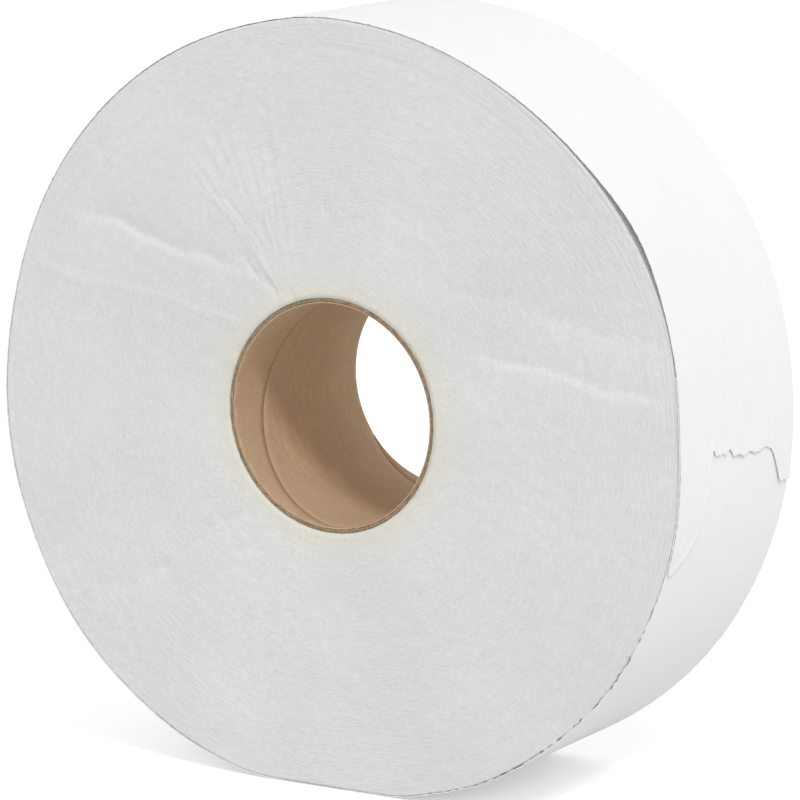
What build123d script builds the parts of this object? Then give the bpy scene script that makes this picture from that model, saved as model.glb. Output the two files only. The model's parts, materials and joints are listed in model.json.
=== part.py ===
"""Jumbo toilet paper roll: a wound tissue sheet on a spiral-wound cardboard core.

Frame, in millimetres: the roll stands on the small flat spot of its rim. X runs across the roll,
Y along its axis from the front face to the back one, and Z up. The origin is on the floor, under
the middle of the roll.
"""

from build123d import *
import os
from math import cos, radians, sin

# Driving sizes.
roll_diameter = 300.0  # over the outer lap
sheet_width = 90.0  # the width that log and core were cut to together
core_bore_diameter = 86.0  # the hole for a dispenser's spindle
core_wall = 2.0  # plies of core board, glued
flat_spot_depth = 5.0  # how far the roll's own weight presses in its rim
flat_spot_blend = 60.0  # radius where the flat spot runs into the round rim
lap_thickness = 0.4  # the outer lap, two creped plies with the air under them
tail_angle = -3.0  # where the outer lap's free end lies, in degrees from +X towards +Z

# Sizes that follow.
roll_radius = roll_diameter / 2
core_radius = core_bore_diameter / 2 + core_wall
axis_height = roll_radius - flat_spot_depth

# Both pieces are drawn on the roll's back face, seen from the front, with the roll's axis as the
# sketch's own origin. They run forward from there.
back_face = Plane(origin=(0, sheet_width / 2, axis_height), x_dir=(1, 0, 0), z_dir=(0, -1, 0))


def at_tail(radius):
    """The point on the face at this radius, in the direction of the lap's free end."""
    return (radius * cos(radians(tail_angle)), radius * sin(radians(tail_angle)))


# Tissue winding. All its turns are one solid. The rim is a spiral of two half turns: the first
# keeps the full radius from the free end on, and the second is struck from a centre half a lap
# further back, so that it comes round one lap lower and leaves the free end as a step.
with BuildPart() as tissue_winding:
    with BuildSketch(back_face) as winding_face:
        with BuildLine():
            CenterArc((0, 0), roll_radius, tail_angle, 180)
            CenterArc(at_tail(-lap_thickness / 2), roll_radius - lap_thickness / 2, tail_angle + 180, 180)
            Line(at_tail(roll_radius - lap_thickness), at_tail(roll_radius))
        make_face()
        with Locations((0, -axis_height)):
            Rectangle(
                roll_diameter, 2 * flat_spot_depth, align=(Align.CENTER, Align.MAX), mode=Mode.SUBTRACT
            )
        fillet(winding_face.vertices().group_by(Axis.Y)[0], flat_spot_blend)
        Circle(core_radius, mode=Mode.SUBTRACT)
    extrude(amount=sheet_width)
tissue_winding.part.label = "tissue_winding"

# Cardboard core: one tube, cut flush with the sheet at both ends.
with BuildPart() as cardboard_core:
    with BuildSketch(back_face):
        Circle(core_radius)
        Circle(core_bore_diameter / 2, mode=Mode.SUBTRACT)
    extrude(amount=sheet_width)
cardboard_core.part.label = "cardboard_core"

os.makedirs("parts", exist_ok=True)
export_step(tissue_winding.part, "parts/tissue_winding.step")
export_step(cardboard_core.part, "parts/cardboard_core.step")
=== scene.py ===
"""Looks of a jumbo toilet paper roll: slit tissue faces, a loose outer lap with a torn end and a
spiral-wound board core. The roll's axis runs along Y, its front face looks towards -Y.

Sizes named _MM are millimetres and angles are degrees from +X towards +Z, seen from the front.
"""

import json
from math import cos, pi, radians, sin
from types import SimpleNamespace

import bmesh
import bpy
import numpy as np
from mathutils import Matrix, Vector


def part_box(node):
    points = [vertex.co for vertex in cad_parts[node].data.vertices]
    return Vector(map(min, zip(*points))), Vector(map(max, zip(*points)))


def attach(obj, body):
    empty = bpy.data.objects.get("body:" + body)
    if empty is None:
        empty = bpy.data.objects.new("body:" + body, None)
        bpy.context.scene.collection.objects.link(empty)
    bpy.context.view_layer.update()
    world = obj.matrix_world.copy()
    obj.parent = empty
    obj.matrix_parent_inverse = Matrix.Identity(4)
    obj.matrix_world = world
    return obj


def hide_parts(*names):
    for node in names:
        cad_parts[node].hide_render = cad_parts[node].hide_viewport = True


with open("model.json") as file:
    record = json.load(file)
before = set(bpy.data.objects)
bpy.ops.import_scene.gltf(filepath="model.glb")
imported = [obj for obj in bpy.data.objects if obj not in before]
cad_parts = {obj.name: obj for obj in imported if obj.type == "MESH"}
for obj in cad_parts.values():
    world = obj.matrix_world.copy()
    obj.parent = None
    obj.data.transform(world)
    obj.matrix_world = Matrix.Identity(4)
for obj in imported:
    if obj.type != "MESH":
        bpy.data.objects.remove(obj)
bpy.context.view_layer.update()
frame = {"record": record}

MM = 0.001

# ---------------------------------------------------------------- sizes from the frame
winding_low, winding_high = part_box("tissue_winding")
core_low, core_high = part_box("cardboard_core")
bore = next(m for m in frame["record"]["mounts"] if m["name"] == "core_bore")

front_y, back_y = winding_low.y, winding_high.y
sheet_width = back_y - front_y
roll_radius = (winding_high.x - winding_low.x) / 2
axis_z = winding_high.z - roll_radius
core_radius = (core_high.x - core_low.x) / 2
bore_radius = bore["dims"]["r_mm"] * MM
face_width = roll_radius - core_radius


# ---------------------------------------------------------------- small helpers
def linear(hex_colour):
    """An sRGB hex colour as linear RGBA."""
    channels = [int(hex_colour[i : i + 2], 16) / 255 for i in (1, 3, 5)]
    return [c / 12.92 if c <= 0.04045 else ((c + 0.055) / 1.055) ** 2.4 for c in channels] + [1.0]


def node(tree, kind, inputs=None, **settings):
    """Adds a node with its settings, and links or sets its inputs by name or number."""
    made = tree.nodes.new(kind)
    for name, value in settings.items():
        setattr(made, name, value)
    for socket, value in (inputs or {}).items():
        if isinstance(value, bpy.types.NodeSocket):
            tree.links.new(value, made.inputs[socket])
        else:
            made.inputs[socket].default_value = value
    return made


def bell(distance, half_width):
    """A smooth bump of height 1 at distance 0."""
    return np.exp(-((distance / half_width) ** 2))


def step(value, start, end):
    """Smooth step from 0 at start to 1 at end."""
    share = np.clip((value - start) / (end - start), 0, 1)
    return share * share * (3 - 2 * share)


def turned(angle, centre):
    """Angle in degrees from centre, between -180 and 180."""
    return (angle - centre + 180) % 360 - 180


def ripples(seed, x, z, wave_mm, count=20):
    """Uneven ripples about 1 high: plane waves in random directions."""
    rng = np.random.default_rng(seed)
    total = np.zeros_like(x)
    for _ in range(count):
        way = rng.uniform(0, 2 * pi)
        wave = wave_mm * rng.uniform(0.7, 1.5)
        total += np.cos(2 * pi / wave * (x * cos(way) + z * sin(way)) + rng.uniform(0, 2 * pi))
    return total * (2 / count) ** 0.5


def closer_angles(count, crowded):
    """A full turn of angles, set closer in the crowded stretches (centre, half width, times)."""
    fine = np.linspace(-180, 180, 7201)
    density = np.ones_like(fine)
    for centre, half_width, times in crowded:
        density += (times - 1) * bell(turned(fine, centre), half_width)
    sums = np.concatenate([[0], np.cumsum((density[1:] + density[:-1]) / 2)])
    return np.interp(np.linspace(0, sums[-1], count, endpoint=False), sums, fine)


def loop_mesh(name, x, y, z, open_ends=False):
    """A closed mesh from a grid whose rows go round the section and whose columns run along it.

    With open ends the columns don't close. The section is then a flat loop, whose second half is
    the way back, and each end gets a cap.
    """
    rows, columns = x.shape
    grid = np.arange(rows * columns).reshape(rows, columns)
    faces = []
    for row in range(rows):
        after = (row + 1) % rows
        for column in range(columns - 1 if open_ends else columns):
            beside = (column + 1) % columns
            near, far = grid[row], grid[after]
            faces.append((near[column], near[beside], far[beside], far[column]))
    if open_ends:
        for row in range(rows // 2 - 1):
            back = rows - 1 - row
            faces.append((grid[row, 0], grid[row + 1, 0], grid[back - 1, 0], grid[back, 0]))
            faces.append((grid[row + 1, -1], grid[row, -1], grid[back, -1], grid[back - 1, -1]))
    points = np.stack([x.ravel(), y.ravel(), z.ravel()], 1)
    mesh = bpy.data.meshes.new(name)
    mesh.from_pydata(points.tolist(), [], np.array(faces).tolist())
    return outward(mesh)


def outward(mesh):
    """Turns a closed mesh's faces outwards, and smooths it."""
    work = bmesh.new()
    work.from_mesh(mesh)
    bmesh.ops.recalc_face_normals(work, faces=work.faces)
    if work.calc_volume(signed=True) < 0:
        bmesh.ops.reverse_faces(work, faces=work.faces)
    for face in work.faces:
        face.smooth = True
    work.to_mesh(mesh)
    work.free()
    return mesh


def piece(name, mesh, cad_node, slot, *materials):
    """An object for a finished mesh, riding on the frame in place of a CAD node."""
    made = bpy.data.objects.new(name, mesh)
    bpy.context.scene.collection.objects.link(made)
    for material in materials:
        mesh.materials.append(material)
    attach(made, "root")
    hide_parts(cad_node)
    return made


# ---------------------------------------------------------------- the roll's outline
# Where the rim stands out or falls in at its front edge: angle, half width, height in mm.
OUT_OF_ROUND = [
    (2, 11, -2.0),
    (60, 18, -1.4),
    (93, 8, 0.7),
    (121, 24, 1.1),
    (168, 15, -1.5),
    (-141, 12, 0.8),
    (-108, 8, -0.6),
    (-73, 6, -1.6),
    (-37, 11, 0.9),
]
ROUNDER_AT_BACK = 0.7  # how much of that is gone at the back edge
FLAT_BLEND_MM = 1.5
TAIL_ANGLE = -3.0
LAP_STEP_MM = 0.4  # what the spiral gains in one turn
PAPER_MM = 0.3  # two plies of creped tissue
UNDERLAP = 14.0  # degrees that the lap runs on beneath its free end
RIM_MM_PER_DEGREE = 2.6
RAGGED = (-40, 26)  # where the slitting left the front edge frayed: middle, half width


def outline(angle, across, turn):
    """Radius in mm of the outer lap. Across is 0 at the front edge and 1 at the back one."""
    radius = roll_radius / MM - LAP_STEP_MM * turn / 360
    for centre, half_width, height in OUT_OF_ROUND:
        radius = radius + height * bell(turned(angle, centre), half_width) * (1 - ROUNDER_AT_BACK * across)
    flat = axis_z / MM / np.maximum(np.cos(np.radians(angle + 90)), 0.2)
    return -FLAT_BLEND_MM * np.logaddexp(-radius / FLAT_BLEND_MM, -flat / FLAT_BLEND_MM)


def lap_gap(angle, across):
    """Air in mm between the outer lap and the turns under it."""
    slack = bell(turned(angle, -12), 30) + 4 * bell(turned(angle, 38), 24) * step(-across, -0.6, 0)
    return 0.08 + 0.2 * slack


def lap_bulge(angle, across):
    """How far the loose outer lap stands out in mm, most of all at the front edge."""
    return 2.0 * bell(turned(angle, 31), 9) * (1 - 0.85 * step(across, 0, 0.7))


def fraying(angle):
    """How far in mm the tufts of a slit edge stick out."""
    along_rim = angle * RIM_MM_PER_DEGREE
    tufts = 0.6 * ripples(31, along_rim, 0 * angle, 3.4, 8) + 0.4 * ripples(32, along_rim, 0 * angle, 1.6, 8)
    return tufts * (0.10 + 0.55 * bell(turned(angle, RAGGED[0]), RAGGED[1]))


# ---------------------------------------------------------------- relief of the slit faces
# Pressed folds across a face, in mm from the axis: start, end, depth, width above, width below.
# A fold with a depth below zero stands proud.
FRONT_FOLDS = [
    ((-110, 69), (-44, 53), 1.5, 6.0, 1.0),
    ((-132, 47), (-38, 33), -0.5, 1.2, 3.0),
    ((46, 54), (143, 38), 0.8, 9.0, 5.0),
    ((64, 29), (137, 19), 1.3, 9.0, 0.9),
    ((-41, -42), (-104, -84), 1.3, 8.0, 1.0),
    ((-75, -64), (-70, -76), 0.8, 1.0, 1.0),
    ((-40, 58), (-24, 45), 0.7, 1.2, 1.0),
    ((-33, 51), (-13, 43), 0.5, 1.0, 1.2),
    ((36, 73), (43, 66), -0.6, 0.8, 0.8),
    ((-3, 82), (-1, 76), 0.6, 0.8, 0.8),
]
BACK_FOLDS = [
    ((52, 70), (112, 62), 1.0, 7.0, 1.2),
    ((-47, -52), (-118, -60), 1.2, 8.0, 1.1),
    ((-60, 62), (-88, 104), -0.6, 1.2, 3.5),
    ((40, -60), (72, -104), 0.9, 2.0, 6.0),
]
# Dips between slack turns: distance in from the rim, from angle, to angle, depth, width, in mm.
FRONT_DIPS = [
    (1.3, -62, 22, 0.16, 0.35),
    (2.3, -50, 14, 0.14, 0.35),
    (3.5, -38, 20, 0.12, 0.35),
    (5.1, -30, 38, 0.12, 0.4),
    (2.0, 28, 66, 0.22, 0.4),
    (10.5, 44, 98, 0.30, 0.5),
    (7.0, 18, 50, 0.15, 0.5),
    (20.0, 55, 82, 0.15, 0.6),
    (3.0, 150, 200, 0.12, 0.6),
]
BACK_DIPS = [
    (1.6, -120, 40, 0.15, 0.4),
    (3.4, 60, 190, 0.15, 0.4),
    (9.0, 100, 170, 0.28, 0.5),
]


def fold(x, z, start, end, depth, above, below):
    """Height of one pressed fold: steep on one side, sloping on the other, faded at its ends."""
    along = np.array(end, float) - start
    length = np.hypot(*along)
    share = ((x - start[0]) * along[0] + (z - start[1]) * along[1]) / length**2
    wander = 1.1 * np.sin(share * 9.0 + start[0]) + 0.5 * np.sin(share * 23.0 + start[1])
    side = ((z - start[1]) * along[0] - (x - start[0]) * along[1]) / length * np.sign(along[0]) + wander
    width = np.where(side > 0, above, below)
    reach = step(share, -0.12, 0.15) * step(-share, -1.15, -0.8)
    return -depth * np.exp(-np.abs(side) / width) * reach


def fan(seed, angle, radius, centre, half_spread, count, height):
    """Fine wrinkles that spread from the core towards the rim, in mm."""
    rng = np.random.default_rng(seed)
    total = np.zeros_like(angle)
    for place in np.linspace(-1, 1, count):
        out = rng.uniform(95, 128)
        into = rng.uniform(46, 80)
        spread = half_spread * (place + rng.uniform(-0.6, 0.6) / count)
        line = centre + spread * (0.35 + 0.65 * step(radius, 45, 125))
        line = line + 0.5 * np.sin(radius / rng.uniform(4, 7) + rng.uniform(0, 6))
        off = radians(1) * turned(angle, line) * radius
        reach = step(radius, into - 5, into + 8) * step(-radius, -out - 5, -out + 14)
        total += rng.uniform(0.5, 1.0) * bell(off, rng.uniform(0.8, 1.6)) * reach
    return height * total


def face_relief(angle, radius, rim, folds, dips, fan_angle, seed):
    """Height of a slit face above its plane, in mm. Radius and rim are in mm too."""
    x = radius * np.cos(np.radians(angle))
    z = radius * np.sin(np.radians(angle))
    height = 0.22 * ripples(seed, x, z, 60) + 0.05 * ripples(seed + 1, x, z, 9)
    for one in folds:
        height += fold(x, z, *one)
    height += fan(seed + 2, angle, radius, fan_angle, 15, 17, 0.24)
    height += fan(seed + 3, angle, radius, fan_angle - 42, 22, 11, 0.10)
    height += fan(seed + 4, angle, radius, fan_angle + 98, 20, 8, 0.08)
    for inward, start, end, depth, width in dips:
        middle, half = (start + end) / 2, (end - start) / 2
        reach = step(half - np.abs(turned(angle, middle)), 0, 8)
        wander = 0.25 * np.sin(np.radians(angle) * 13 + inward)
        height -= depth * bell(rim - radius - inward - wander, width) * reach
    by_core = bell(radius - core_radius / MM, 3.0)
    height += by_core * (0.12 + 0.10 * np.sin(np.radians(angle) * 37) * np.sin(np.radians(angle) * 5 + 1))
    return height * step(rim - radius, -0.2, 1.0)


# ---------------------------------------------------------------- the winding
WINDING_COLUMNS = 720
CORNER_MM = 0.6


def winding_mesh():
    """All the turns under the outer lap, as one body."""
    angles = closer_angles(WINDING_COLUMNS, [(112, 26, 3.2), (-8, 16, 1.5), (25, 30, 1.4)])
    growing = 7 + 0.36 * np.cumsum(1.22 ** np.arange(1, 8))
    from_rim = np.concatenate([np.arange(CORNER_MM, 7, 0.36), growing])
    inner = np.linspace(from_rim[-1], face_width / MM - 0.05, 46)[1:]
    front_in = 1 - np.concatenate([from_rim, inner]) * MM / face_width
    corner = CORNER_MM * MM / face_width
    corner_across = CORNER_MM * MM / sheet_width
    section = [(share, 0.0) for share in front_in[::-1]]
    section += [(1 - 0.3 * corner, 0.3 * corner_across)]
    section += [(1.0, across) for across in np.linspace(corner_across, 1 - corner_across, 14)]
    section += [(1 - 0.3 * corner, 1 - 0.3 * corner_across)]
    section += [(share, 1.0) for share in front_in[::3]]
    section += [(front_in[-1], 1.0), (front_in[-1], 0.5)]
    out, across = (np.array(values)[:, None] for values in zip(*section))
    angle = angles[None, :] + 0 * out
    out, across = out + 0 * angle, across + 0 * angle

    turn = turned(angle, TAIL_ANGLE + 180) + 180
    under_both = step(-turn, -UNDERLAP - 7, -UNDERLAP - 1)
    rim = outline(angle, across, turn) - PAPER_MM - LAP_STEP_MM * under_both - lap_gap(angle, across)
    radius = core_radius / MM + (rim - core_radius / MM) * out
    from_edge = rim - radius
    radius += fraying(angle + 3) * bell(from_edge, 1.2) * step(-across, -0.03, 0) * 0.6

    front = face_relief(angle, radius, rim, FRONT_FOLDS, FRONT_DIPS, 112, 1)
    back = face_relief(180 - angle, radius, rim, BACK_FOLDS, BACK_DIPS, 60, 50)
    y = front_y + across * sheet_width - front * MM * (across < 0.001) + back * MM * (across > 0.999)
    x = radius * MM * np.cos(np.radians(angle))
    z = axis_z + radius * MM * np.sin(np.radians(angle))
    return loop_mesh("tissue_turns", x, y, z)


# ---------------------------------------------------------------- the outer lap
# The free end is torn: the angle where it ends, at shares of the width from the front edge.
TORN_ACROSS = [0.0, 0.05, 0.10, 0.19, 0.22, 0.236, 0.25, 0.27, 0.45, 0.80, 0.84, 0.89, 0.94, 1.0]
TORN_ANGLE = [-18.0, -17.2, -16.4, -13.6, -11.5, -7.0, -3.0, -1.8, -2.6, -3.6, -5.0, -8.6, -9.4, -9.6]
# Short creases that the tear pulled into the lap beneath: share of the width, angle, half length,
# half width, depth. The last two are in mm.
TEAR_CREASES = [
    (0.255, -4.0, 2.6, 0.5, 0.35),
    (0.30, -3.5, 2.2, 0.6, 0.3),
    (0.345, -4.6, 1.8, 0.5, 0.25),
    (0.39, -3.8, 2.6, 0.6, 0.25),
    (0.44, -4.8, 1.6, 0.5, 0.2),
    (0.12, -10.0, 3.0, 0.6, -0.2),
    (0.15, -8.0, 2.0, 0.6, 0.2),
]
LAP_COLUMNS = 640


def lap_mesh():
    """The outer lap: once round from its torn free end, then on beneath that end."""
    across = np.concatenate(
        [
            [0, 0.004, 0.012, 0.03],
            np.linspace(0.05, 0.2, 8),
            np.linspace(0.21, 0.28, 11),
            np.linspace(0.30, 0.46, 12),
            np.linspace(0.5, 0.8, 7),
            np.linspace(0.825, 0.97, 7),
            [0.988, 0.996, 1],
        ]
    )
    width = across * sheet_width / MM
    torn = np.interp(across, TORN_ACROSS, TORN_ANGLE)
    torn += 0.3 * ripples(41, width, 0 * width, 5) + 0.15 * ripples(42, width, 0 * width, 1.8)
    share = np.linspace(0, 1, LAP_COLUMNS) ** 1.25 * (360 + UNDERLAP)
    angle = TAIL_ANGLE + share[None, :] + (torn - TAIL_ANGLE)[:, None] * (1 - step(share, 0, 40))[None, :]
    across, width = across[:, None] + 0 * angle, width[:, None] + 0 * angle
    turn = angle - TAIL_ANGLE
    from_end = angle - torn[:, None]

    radius = outline(angle, across, turn) + lap_bulge(angle, across) * (turn < 200)
    round_rim = angle * RIM_MM_PER_DEGREE
    radius += bell(from_end, 1.6) * (0.22 + 0.12 * np.clip(ripples(43, width, round_rim, 17), -1.5, 2))
    radius += bell(from_end, 9) * 0.08 * np.clip(1 + ripples(44, width, round_rim, 8), 0, 3)
    off_floor = step(np.abs(turned(angle, -90)), 20, 35)
    radius += 0.05 * np.clip(1 + ripples(45, width, angle * 0.5, 26), 0, 3) * off_floor * (turn < 350)
    for place, centre, half_length, half_width, depth in TEAR_CREASES:
        along = turned(angle, centre)
        across_it = width - place * sheet_width / MM - 0.5 * np.sin(along * 1.3 + place * 40)
        seen = turn > 200 if depth > 0 and place > 0.2 else turn < 200
        radius -= depth * bell(along, half_length) * bell(across_it, half_width) * seen
    at_front = step(-across, -0.012, 0)
    at_back = step(across, 0.988, 1)
    frays = fraying(angle)
    y = front_y + across * sheet_width + (at_back - at_front) * (0.1 + 0.5 * frays) * MM
    radius += at_front * np.maximum(frays, -0.1) * (turn < 345)
    paper = PAPER_MM * (0.35 + 0.65 * step(from_end, 0, 1.2))

    radius = np.concatenate([radius, (radius - paper)[::-1]])
    angle = np.concatenate([angle, angle[::-1]])
    y = np.concatenate([y, y[::-1]])
    x = radius * MM * np.cos(np.radians(angle))
    z = axis_z + radius * MM * np.sin(np.radians(angle))
    return loop_mesh("outer_lap", x, y, z, open_ends=True)


# ---------------------------------------------------------------- the core
STRIP_LEAD_MM = 75.5  # how far along the tube the inner strip gets in one turn
SEAM_GAP_MM = 0.45
INNER_PLY_MM = 0.5
SEAM_FRONT_ANGLE = 284.0  # where the seam runs out at the front mouth
STRIP_TURNS = 3.4
TURNS_BEFORE = 1.6  # of those, the ones wound before the front end
STRIP_POINTS = (1000, 26)  # along the strip and across it
STRIP_SETBACK_MM = 0.08  # how far the strip ends short of the tube
PLY_AIR_MM = 0.05


def wound_strip_tree():
    """Geometry Nodes: a flat strip wound round a mandrel with a gap left between its turns."""
    tree = bpy.data.node_groups.new("wound_strip", "GeometryNodeTree")
    sockets = [
        ("Mandrel radius", "NodeSocketFloat"),
        ("Lead", "NodeSocketFloat"),
        ("Seam gap", "NodeSocketFloat"),
        ("Turns", "NodeSocketFloat"),
        ("Start angle", "NodeSocketFloat"),
        ("Start along", "NodeSocketFloat"),
        ("Board", "NodeSocketMaterial"),
    ]
    for name, kind in sockets:
        tree.interface.new_socket(name, in_out="INPUT", socket_type=kind)
    tree.interface.new_socket("Strip", in_out="OUTPUT", socket_type="NodeSocketGeometry")
    given = node(tree, "NodeGroupInput").outputs
    flat_strip = {"Size X": 1.0, "Size Y": 1.0, "Vertices X": STRIP_POINTS[0], "Vertices Y": STRIP_POINTS[1]}
    grid = node(tree, "GeometryNodeMeshGrid", flat_strip)
    place = node(tree, "GeometryNodeInputPosition").outputs[0]
    flat = node(tree, "ShaderNodeSeparateXYZ", {0: place}).outputs

    def sum_of(kind, first, second):
        return node(tree, "ShaderNodeMath", {0: first, 1: second}, operation=kind).outputs[0]

    turns = sum_of("MULTIPLY", sum_of("ADD", flat["X"], 0.5), given["Turns"])
    angle = sum_of("ADD", sum_of("MULTIPLY", turns, -2 * pi), given["Start angle"])
    width = sum_of("SUBTRACT", given["Lead"], given["Seam gap"])
    along = sum_of("ADD", sum_of("MULTIPLY", turns, given["Lead"]), sum_of("MULTIPLY", flat["Y"], width))
    along = sum_of("ADD", along, given["Start along"])
    wound = node(
        tree,
        "ShaderNodeCombineXYZ",
        {
            "X": sum_of("MULTIPLY", sum_of("COSINE", angle, 0.0), given["Mandrel radius"]),
            "Y": along,
            "Z": sum_of("MULTIPLY", sum_of("SINE", angle, 0.0), given["Mandrel radius"]),
        },
    )
    moved = {"Geometry": grid.outputs["Mesh"], "Position": wound.outputs[0]}
    placed = node(tree, "GeometryNodeSetPosition", moved)
    real = node(tree, "GeometryNodeRealizeInstances", {0: placed.outputs[0]})
    board = node(tree, "GeometryNodeSetMaterial", {"Geometry": real.outputs[0], "Material": given["Board"]})
    node(tree, "NodeGroupOutput", {0: board.outputs[0]})
    return tree


def made_by_nodes(name, tree, values):
    """The mesh that a Geometry Nodes tree makes, its inputs set by the sockets' identifiers."""
    holder = bpy.data.objects.new(name, bpy.data.meshes.new(name))
    bpy.context.scene.collection.objects.link(holder)
    modifier = holder.modifiers.new(name, "NODES")
    modifier.node_group = tree
    for item in tree.interface.items_tree:
        if item.item_type == "SOCKET" and item.in_out == "INPUT" and item.name in values:
            modifier[item.identifier] = values[item.name]
    bpy.context.view_layer.update()
    mesh = bpy.data.meshes.new_from_object(holder.evaluated_get(bpy.context.evaluated_depsgraph_get()))
    bpy.data.objects.remove(holder)
    return mesh


CORE_COLUMNS = 400
BORE_MM_PER_DEGREE = 0.78
SAW_ROUGHNESS_MM = 0.072
SAW_DEPTH_MM = 0.4  # how far in from an end the saw's marks reach


def core_mesh():
    """The tube under the inner strip, its ends sawn a little rough."""
    angle = np.linspace(-180, 180, CORE_COLUMNS, endpoint=False)[None, :]
    low, high = bore_radius / MM + INNER_PLY_MM, core_radius / MM
    middle = (low + high) / 2
    section = [(low, 0.25), (low + 0.15, 0.05), (middle - 0.3, 0.0), (middle, 0.0), (middle + 0.3, 0.0)]
    section += [(high - 0.15, 0.05), (high, 0.25), (high, 30.0), (high, 60.0)]
    wide = sheet_width / MM
    section += [(high, wide - 0.25), (high - 0.15, wide - 0.05), (middle, wide), (low + 0.15, wide - 0.05)]
    section += [(low, wide - 0.25), (low, 60.0), (low, 30.0)]
    radius, along = (np.array(values)[:, None] + 0 * angle for values in zip(*section))
    angle = angle + 0 * radius
    around_end = angle * BORE_MM_PER_DEGREE
    rough = ripples(61, around_end, radius * 2, 2.2) + 0.6 * ripples(62, around_end, radius * 3, 1.0)
    near_front = step(-along, -SAW_DEPTH_MM, 0)
    near_back = step(along, wide - SAW_DEPTH_MM, wide)
    along = along + SAW_ROUGHNESS_MM * rough * (near_front - near_back)
    x = radius * MM * np.cos(np.radians(angle))
    z = axis_z + radius * MM * np.sin(np.radians(angle))
    return loop_mesh("core_tube", x, front_y + along * MM, z)


def strip_mesh(board):
    """The inner strip of liner: wound by Geometry Nodes, cut flush with the ends and thickened."""
    mesh = made_by_nodes(
        "wound_strip",
        wound_strip_tree(),
        {
            "Mandrel radius": bore_radius / MM,
            "Lead": STRIP_LEAD_MM,
            "Seam gap": SEAM_GAP_MM,
            "Turns": STRIP_TURNS,
            "Start angle": radians(SEAM_FRONT_ANGLE) + 2 * pi * (TURNS_BEFORE + 0.5),
            "Start along": -STRIP_LEAD_MM * TURNS_BEFORE,
            "Board": board,
        },
    )
    work = bmesh.new()
    work.from_mesh(mesh)
    for cut, away in ((STRIP_SETBACK_MM, -1), (sheet_width / MM - STRIP_SETBACK_MM, 1)):
        bmesh.ops.bisect_plane(
            work,
            geom=work.verts[:] + work.edges[:] + work.faces[:],
            plane_co=(0, cut, 0),
            plane_no=(0, away, 0),
            clear_outer=True,
        )
    for face in work.faces:
        middle = face.calc_center_median()
        if face.normal.x * middle.x + face.normal.z * middle.z > 0:
            face.normal_flip()
    bmesh.ops.solidify(work, geom=work.faces[:], thickness=INNER_PLY_MM - PLY_AIR_MM)
    for vertex in work.verts:
        x, y, z = vertex.co
        vertex.co = (x * MM, front_y + y * MM, axis_z + z * MM)
    work.to_mesh(mesh)
    work.free()
    return outward(mesh)


def joined(name, *meshes):
    """One mesh of several, each keeping its own material by its number."""
    work = bmesh.new()
    for number, mesh in enumerate(meshes):
        before = len(work.faces)
        work.from_mesh(mesh)
        work.faces.ensure_lookup_table()
        for face in work.faces[before:]:
            face.material_index = number
    made = bpy.data.meshes.new(name)
    work.to_mesh(made)
    work.free()
    return made


# ---------------------------------------------------------------- materials
def new_material(name):
    made = bpy.data.materials.new(name)
    made.use_nodes = True
    made.node_tree.nodes.clear()
    return made, made.node_tree


def maths(tree, operation, *values):
    return node(tree, "ShaderNodeMath", dict(enumerate(values)), operation=operation).outputs[0]


def ranged(tree, value, low, high, to_low=0.0, to_high=1.0):
    """Value from low to high, eased, as to_low to to_high."""
    inputs = {0: value, 1: low, 2: high, 3: to_low, 4: to_high}
    return node(tree, "ShaderNodeMapRange", inputs, interpolation_type="SMOOTHSTEP").outputs[0]


def noise(tree, vector, scale, detail=2.0, roughness=0.5, distortion=0.0):
    inputs = {
        "Vector": vector,
        "Scale": scale,
        "Detail": detail,
        "Roughness": roughness,
        "Distortion": distortion,
    }
    return node(tree, "ShaderNodeTexNoise", inputs).outputs[0]


def mixed(tree, share, first, second, blend_type="MIX"):
    """Two colours mixed by a share."""
    made = node(tree, "ShaderNodeMix", data_type="RGBA", blend_type=blend_type)
    for socket, value in ((made.inputs[0], share), (made.inputs[6], first), (made.inputs[7], second)):
        if isinstance(value, bpy.types.NodeSocket):
            tree.links.new(value, socket)
        else:
            socket.default_value = value
    return made.outputs[2]


def round_axis(tree):
    """Object coordinates in mm from the front end of the axis: the place itself, its distance
    along the axis, its radius, and its direction from the axis as a unit pair."""
    place = node(tree, "ShaderNodeTexCoord").outputs["Object"]
    start = {0: place, 1: (0, front_y, axis_z)}
    moved = node(tree, "ShaderNodeVectorMath", start, operation="SUBTRACT").outputs[0]
    in_mm = node(tree, "ShaderNodeVectorMath", {0: moved, "Scale": 1 / MM}, operation="SCALE").outputs[0]
    x, y, z = node(tree, "ShaderNodeSeparateXYZ", {0: in_mm}).outputs
    squares = maths(tree, "ADD", maths(tree, "MULTIPLY", x, x), maths(tree, "MULTIPLY", z, z))
    radius = maths(tree, "SQRT", squares)
    direction = (maths(tree, "DIVIDE", x, radius), maths(tree, "DIVIDE", z, radius))
    return SimpleNamespace(place=in_mm, along=y, radius=radius, direction=direction)


def around(tree, at, count, third, stretch):
    """A vector for grain that follows the turns: count sets how often it changes round the roll."""
    return node(
        tree,
        "ShaderNodeCombineXYZ",
        {
            0: maths(tree, "MULTIPLY", at.direction[0], count),
            1: maths(tree, "MULTIPLY", at.direction[1], count),
            2: maths(tree, "MULTIPLY", third, stretch),
        },
    ).outputs[0]


def finished(tree, colour, height, bump_mm, roughness, sheen=0.0):
    """The last nodes: bump, a matte surface and the output."""
    bump = node(tree, "ShaderNodeBump", {"Strength": 1.0, "Distance": bump_mm * MM, "Height": height})
    surface = node(
        tree,
        "ShaderNodeBsdfPrincipled",
        {
            "Base Color": colour,
            "Roughness": roughness,
            "Specular IOR Level": 0.15,
            "Sheen Weight": sheen,
            "Sheen Roughness": 0.6,
            "Normal": bump.outputs[0],
        },
    )
    node(tree, "ShaderNodeOutputMaterial", {"Surface": surface.outputs[0]})


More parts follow.
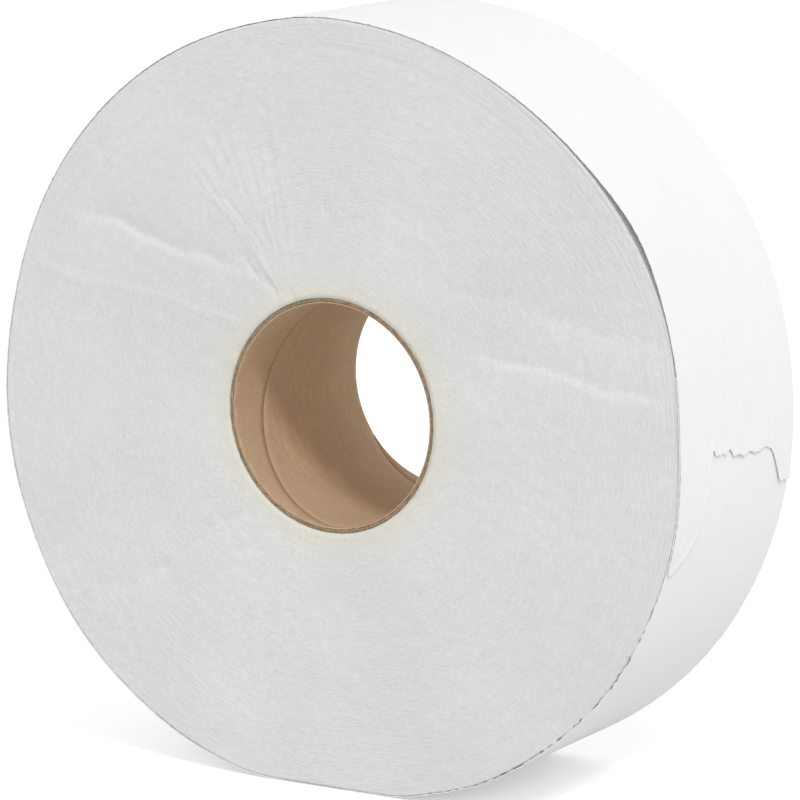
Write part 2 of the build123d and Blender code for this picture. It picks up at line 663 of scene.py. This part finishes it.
def slit_tissue():
    """Slit edges of creped tissue: greyer than the sheet, with a short grain along the turns."""
    made, tree = new_material("creped_tissue_slit_edge")
    at = round_axis(tree)
    grain = noise(tree, around(tree, at, 46.0, at.radius, 1.5), 1.0, 3.0, 0.6)
    turns = noise(tree, around(tree, at, 9.0, at.radius, 1.1), 1.0, 3.0, 0.65)
    crepe = noise(tree, at.place, 0.42, 3.0, 0.55, 0.8)
    patches = ranged(tree, noise(tree, at.place, 0.018, 2.0, 0.5), 0.42, 0.6)
    fine = mixed(tree, maths(tree, "MULTIPLY", patches, 0.75), grain, crepe)
    level = maths(tree, "ADD", maths(tree, "MULTIPLY", fine, 0.7), maths(tree, "MULTIPLY", turns, 0.3))
    shade = ranged(tree, level, 0.28, 0.72, 0.93, 1.045)
    # Painted shade: small random spots darkened by up to 14 per cent, standing in for the shade in pits
    # between the fibres.
    painted_pit_shade = ranged(tree, noise(tree, at.place, 0.35, 4.0, 0.75), 0.70, 0.78, 1.0, 0.86)
    shade = maths(tree, "MULTIPLY", shade, painted_pit_shade)
    cloudy = ranged(tree, noise(tree, at.place, 0.012, 2.0, 0.5), 0.3, 0.7, 0.985, 1.015)
    shade = maths(tree, "MULTIPLY", shade, cloudy)
    warm = ranged(tree, at.radius, 46.0, 57.0, 0.85, 0.0)
    paper = mixed(tree, warm, linear("#e2e2e0"), linear("#e4e1d4"))
    colour = mixed(tree, 1.0, paper, shade, "MULTIPLY")
    finished(tree, colour, level, 0.5, 0.95, 0.1)
    return made


def sheet_tissue():
    """The face of the sheet: soft white, with faint lines along the web and a fine crepe."""
    made, tree = new_material("creped_tissue_sheet")
    at = round_axis(tree)
    lines = noise(tree, around(tree, at, 7.0, at.along, 0.55), 1.0, 4.0, 0.6)
    crepe = noise(tree, around(tree, at, 330.0, at.along, 0.35), 1.0, 2.0, 0.5)
    soft = noise(tree, at.place, 0.12, 3.0, 0.5)
    level = maths(tree, "ADD", maths(tree, "MULTIPLY", lines, 0.6), maths(tree, "MULTIPLY", crepe, 0.25))
    level = maths(tree, "ADD", level, maths(tree, "MULTIPLY", soft, 0.15))
    shade = ranged(tree, level, 0.3, 0.7, 0.975, 1.015)
    colour = mixed(tree, 1.0, linear("#f4f4f3"), shade, "MULTIPLY")
    finished(tree, colour, level, 0.25, 0.95, 0.12)
    return made


def core_liner():
    """Kraft liner inside the tube: tan, streaked along the strip, with fibres and dark flecks."""
    made, tree = new_material("kraft_core_liner")
    at = round_axis(tree)
    along = noise(tree, around(tree, at, 4.0, at.along, 0.9), 1.0, 4.0, 0.65)
    pulp = noise(tree, at.place, 0.9, 4.0, 0.7)
    clouds = noise(tree, at.place, 0.06, 2.0, 0.5)
    level = maths(tree, "ADD", maths(tree, "MULTIPLY", along, 0.5), maths(tree, "MULTIPLY", pulp, 0.5))
    board = mixed(tree, ranged(tree, level, 0.32, 0.68), linear("#bb9f80"), linear("#cdb394"))
    board = mixed(tree, ranged(tree, clouds, 0.45, 0.65, 0.0, 0.5), board, linear("#c2a28a"))
    flecks = ranged(tree, noise(tree, at.place, 0.75, 3.0, 0.8), 0.70, 0.76, 0.0, 0.55)
    board = mixed(tree, flecks, board, linear("#6d5540"))
    finished(tree, board, level, 0.12, 0.85)
    return made


def core_cut():
    """The sawn end of the board: greyer and darker than its liner, with torn pale fibres."""
    made, tree = new_material("sawn_core_board")
    at = round_axis(tree)
    plies = noise(tree, around(tree, at, 16.0, at.radius, 2.6), 1.0, 3.0, 0.7)
    torn = noise(tree, at.place, 1.1, 4.0, 0.75)
    level = maths(tree, "ADD", maths(tree, "MULTIPLY", plies, 0.5), maths(tree, "MULTIPLY", torn, 0.5))
    board = mixed(tree, ranged(tree, level, 0.36, 0.64), linear("#6d5c4b"), linear("#bba588"))
    finished(tree, board, level, 0.4, 0.9)
    return made


def pale_floor():
    """White sweep: takes the roll's shadow, and is lifted to white where nothing shades it."""
    made, tree = new_material("white_sweep")
    matte = node(tree, "ShaderNodeBsdfDiffuse", {"Color": (0.8, 0.8, 0.8, 1.0)})
    seen = node(tree, "ShaderNodeLightPath").outputs["Is Camera Ray"]
    glow = node(
        tree,
        "ShaderNodeEmission",
        {"Color": (1, 1, 1, 1), "Strength": maths(tree, "MULTIPLY", seen, FLOOR_LIFT)},
    )
    both = node(tree, "ShaderNodeAddShader", {0: matte.outputs[0], 1: glow.outputs[0]})
    node(tree, "ShaderNodeOutputMaterial", {"Surface": both.outputs[0]})
    return made


# ---------------------------------------------------------------- light, floor and camera
KEY_FROM = Vector((0.528, -0.44, 0.727))
KEY_STRENGTH = 1.05
KEY_SPREAD = 10.0
SKY_STRENGTH = 0.78
FLOOR_LIFT = 0.42
FLOOR_HALF = 6.0
LENS_MM = 215.6
CAMERA_AT = (0.9224, -1.5595, 0.4857)
LOOKS_AT = (0.0303, -0.045, 0.1541)


def studio():
    """A white sweep under an even white sky, and one soft key from the upper right front."""
    scene = bpy.context.scene
    scene.view_settings.view_transform = "Standard"
    world = bpy.data.worlds.new("even_sky")
    scene.world = world
    world.use_nodes = True
    world.node_tree.nodes.clear()
    sky = node(world.node_tree, "ShaderNodeBackground", {"Color": (1, 1, 1, 1), "Strength": SKY_STRENGTH})
    node(world.node_tree, "ShaderNodeOutputWorld", {"Surface": sky.outputs[0]})

    lamp = bpy.data.lights.new("key", "SUN")
    lamp.energy = KEY_STRENGTH
    lamp.angle = radians(KEY_SPREAD)
    key = bpy.data.objects.new("key", lamp)
    key.rotation_euler = KEY_FROM.to_track_quat("Z", "Y").to_euler()
    scene.collection.objects.link(key)

    corners = [(x * FLOOR_HALF, y * FLOOR_HALF, 0) for x, y in ((-1, -1), (1, -1), (1, 1), (-1, 1))]
    mesh = bpy.data.meshes.new("floor")
    mesh.from_pydata(corners, [], [(0, 1, 2, 3)])
    mesh.materials.append(pale_floor())
    floor = bpy.data.objects.new("floor", mesh)
    scene.collection.objects.link(floor)

    lens = bpy.data.cameras.new("camera")
    lens.lens = LENS_MM
    lens.sensor_width = 36.0
    lens.clip_start = 0.05
    lens.clip_end = 50.0
    camera = bpy.data.objects.new("camera", lens)
    camera.location = CAMERA_AT
    look = Vector(LOOKS_AT) - Vector(CAMERA_AT)
    camera.rotation_euler = look.to_track_quat("-Z", "Y").to_euler()
    scene.collection.objects.link(camera)
    scene.camera = camera


# ---------------------------------------------------------------- the pieces
slit, sheet, liner, cut_board = slit_tissue(), sheet_tissue(), core_liner(), core_cut()
piece("tissue_turns", winding_mesh(), "tissue_winding", "tissue", slit)
piece("outer_lap", lap_mesh(), "tissue_winding", "tissue", sheet)
strip = strip_mesh(liner)
strip.materials.clear()
piece("core", joined("core", core_mesh(), strip), "cardboard_core", "core_board", cut_board, liner)
studio()
